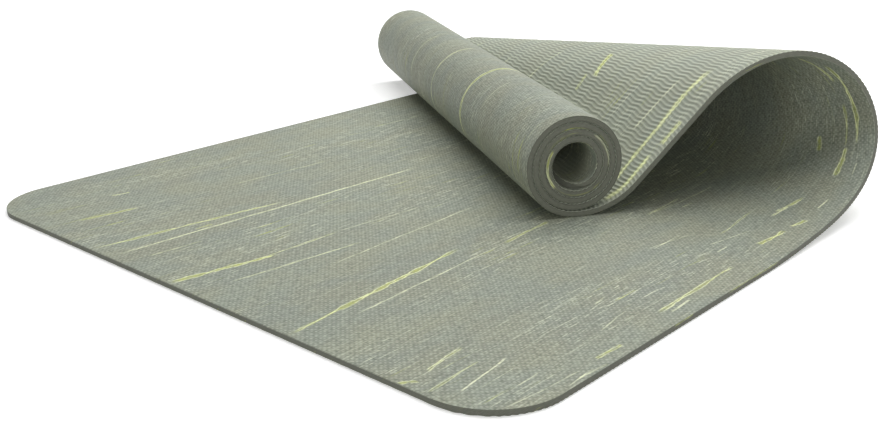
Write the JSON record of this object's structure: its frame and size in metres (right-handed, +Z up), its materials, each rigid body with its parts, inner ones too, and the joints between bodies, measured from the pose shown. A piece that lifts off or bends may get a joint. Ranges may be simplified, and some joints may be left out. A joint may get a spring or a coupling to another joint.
{
  "type": "yoga mat",
  "caption": "Foam yoga mat with rounded corners, folded over in a slanted loop with its far end wound into a roll that lies on the flat part.",
  "frame": {"origin": "on the floor under the middle of the flat stretch, half way across the mat", "axes": "+Y along the roll's axis from the end that shows beside the loop's wide side, +X from the mat's free end towards the loop, +Z up; the mat's long edges slant across X and Y"},
  "size_m": [0.7465, 0.9067, 0.1363],
  "materials": {
    "face": "matt closed-cell foam, linen emboss, lime streaks along the mat",
    "scrim": "open net of matt threads inside the foam",
    "base": "matt closed-cell foam, moulded with wavy ribs"
  },
  "bodies": {
    "flat": {"face_flat": "face", "scrim_flat": "scrim", "base_flat": "base"},
    "end_1": {"face_end_1": "face", "scrim_end_1": "scrim", "base_end_1": "base"},
    "end_2": {"face_end_2": "face", "scrim_end_2": "scrim", "base_end_2": "base"},
    "end_3": {"face_end_3": "face", "scrim_end_3": "scrim", "base_end_3": "base"},
    "end_4": {"face_end_4": "face", "scrim_end_4": "scrim", "base_end_4": "base"},
    "loop_01": {"face_loop_01": "face", "scrim_loop_01": "scrim", "base_loop_01": "base"},
    "loop_02": {"face_loop_02": "face", "scrim_loop_02": "scrim", "base_loop_02": "base"},
    "loop_03": {"face_loop_03": "face", "scrim_loop_03": "scrim", "base_loop_03": "base"},
    "loop_04": {"face_loop_04": "face", "scrim_loop_04": "scrim", "base_loop_04": "base"},
    "loop_05": {"face_loop_05": "face", "scrim_loop_05": "scrim", "base_loop_05": "base"},
    "loop_06": {"face_loop_06": "face", "scrim_loop_06": "scrim", "base_loop_06": "base"},
    "loop_07": {"face_loop_07": "face", "scrim_loop_07": "scrim", "base_loop_07": "base"},
    "loop_08": {"face_loop_08": "face", "scrim_loop_08": "scrim", "base_loop_08": "base"},
    "loop_09": {"face_loop_09": "face", "scrim_loop_09": "scrim", "base_loop_09": "base"},
    "loop_10": {"face_loop_10": "face", "scrim_loop_10": "scrim", "base_loop_10": "base"},
    "loop_11": {"face_loop_11": "face", "scrim_loop_11": "scrim", "base_loop_11": "base"},
    "roll": {"face_ramp": "face", "scrim_ramp": "scrim", "base_ramp": "base", "face_roll": "face", "scrim_roll": "scrim", "base_roll": "base"}
  },
  "joints": [
    {"name": "curl_4", "type": "hinge", "parent": "flat", "child": "end_4", "pos_m": [-0.02776, -0.01784, 0.005], "axis": [-0.5406, 0.8413, 0], "range_deg": [0, 35]},
    {"name": "curl_3", "type": "hinge", "parent": "end_4", "child": "end_3", "pos_m": [-0.07824, -0.05027, 0.005], "axis": [-0.5406, 0.8413, 0], "range_deg": [0, 35]},
    {"name": "curl_2", "type": "hinge", "parent": "end_3", "child": "end_2", "pos_m": [-0.12872, -0.08271, 0.005], "axis": [-0.5406, 0.8413, 0], "range_deg": [0, 35]},
    {"name": "curl_1", "type": "hinge", "parent": "end_2", "child": "end_1", "pos_m": [-0.1792, -0.11514, 0.005], "axis": [-0.5406, 0.8413, 0], "range_deg": [0, 35]},
    {"name": "loop_1", "type": "hinge", "parent": "flat", "child": "loop_01", "pos_m": [0.21229, 0.13632, 0], "axis": [-0.0435, 0.9991, 0], "range_deg": [0, 6.66]},
    {"name": "loop_2", "type": "hinge", "parent": "loop_01", "child": "loop_02", "pos_m": [0.26447, 0.16993, 0.00801], "axis": [-0.1585, 0.9872, -0.0168], "range_deg": [0, 19.94]},
    {"name": "loop_3", "type": "hinge", "parent": "loop_02", "child": "loop_03", "pos_m": [0.2863, 0.18502, 0.01926], "axis": [-0.1993, 0.9793, -0.0364], "range_deg": [0, 19.96]},
    {"name": "loop_4", "type": "hinge", "parent": "loop_03", "child": "loop_04", "pos_m": [0.29637, 0.19372, 0.03107], "axis": [-0.2164, 0.9748, -0.0547], "range_deg": [0, 19.96]},
    {"name": "loop_5", "type": "hinge", "parent": "loop_04", "child": "loop_05", "pos_m": [0.3006, 0.19994, 0.04317], "axis": [-0.2237, 0.972, -0.0718], "range_deg": [0, 19.96]},
    {"name": "loop_6", "type": "hinge", "parent": "loop_05", "child": "loop_06", "pos_m": [0.30028, 0.20496, 0.05581], "axis": [-0.2244, 0.9705, -0.0885], "range_deg": [0, 19.96]},
    {"name": "loop_7", "type": "hinge", "parent": "loop_06", "child": "loop_07", "pos_m": [0.29517, 0.2093, 0.069], "axis": [-0.2194, 0.97, -0.1049], "range_deg": [0, 10.17]},
    {"name": "loop_8", "type": "hinge", "parent": "loop_07", "child": "loop_08", "pos_m": [0.28481, 0.2128, 0.08114], "axis": [-0.209, 0.9707, -0.1189], "range_deg": [0, 10.17]},
    {"name": "loop_9", "type": "hinge", "parent": "loop_08", "child": "loop_09", "pos_m": [0.26903, 0.21538, 0.0904], "axis": [-0.1941, 0.9725, -0.1288], "range_deg": [0, 10.17]},
    {"name": "loop_10", "type": "hinge", "parent": "loop_09", "child": "loop_10", "pos_m": [0.24769, 0.21705, 0.0946], "axis": [-0.1762, 0.9753, -0.1331], "range_deg": [0, 10.17]},
    {"name": "loop_11", "type": "hinge", "parent": "loop_10", "child": "loop_11", "pos_m": [0.2201, 0.21791, 0.09058], "axis": [-0.157, 0.9789, -0.1309], "range_deg": [0, 10.17]},
    {"name": "loop_12", "type": "hinge", "parent": "loop_11", "child": "roll", "pos_m": [0.18985, 0.21813, 0.07482], "axis": [-0.1414, 0.9823, -0.1231], "range_deg": [0, 10.17]}
  ],
  "couplings": [
    {"joint": "curl_3", "follows": "curl_4", "ratio": 1},
    {"joint": "curl_2", "follows": "curl_4", "ratio": 1},
    {"joint": "curl_1", "follows": "curl_4", "ratio": 1},
    {"joint": "loop_1", "follows": "loop_2", "ratio": 0.33333},
    {"joint": "loop_3", "follows": "loop_2", "ratio": 1},
    {"joint": "loop_4", "follows": "loop_2", "ratio": 1},
    {"joint": "loop_5", "follows": "loop_2", "ratio": 1},
    {"joint": "loop_6", "follows": "loop_2", "ratio": 1},
    {"joint": "loop_7", "follows": "loop_2", "ratio": 0.50933},
    {"joint": "loop_8", "follows": "loop_2", "ratio": 0.50933},
    {"joint": "loop_9", "follows": "loop_2", "ratio": 0.50933},
    {"joint": "loop_10", "follows": "loop_2", "ratio": 0.50933},
    {"joint": "loop_11", "follows": "loop_2", "ratio": 0.50933},
    {"joint": "loop_12", "follows": "loop_2", "ratio": 0.50933}
  ]
}
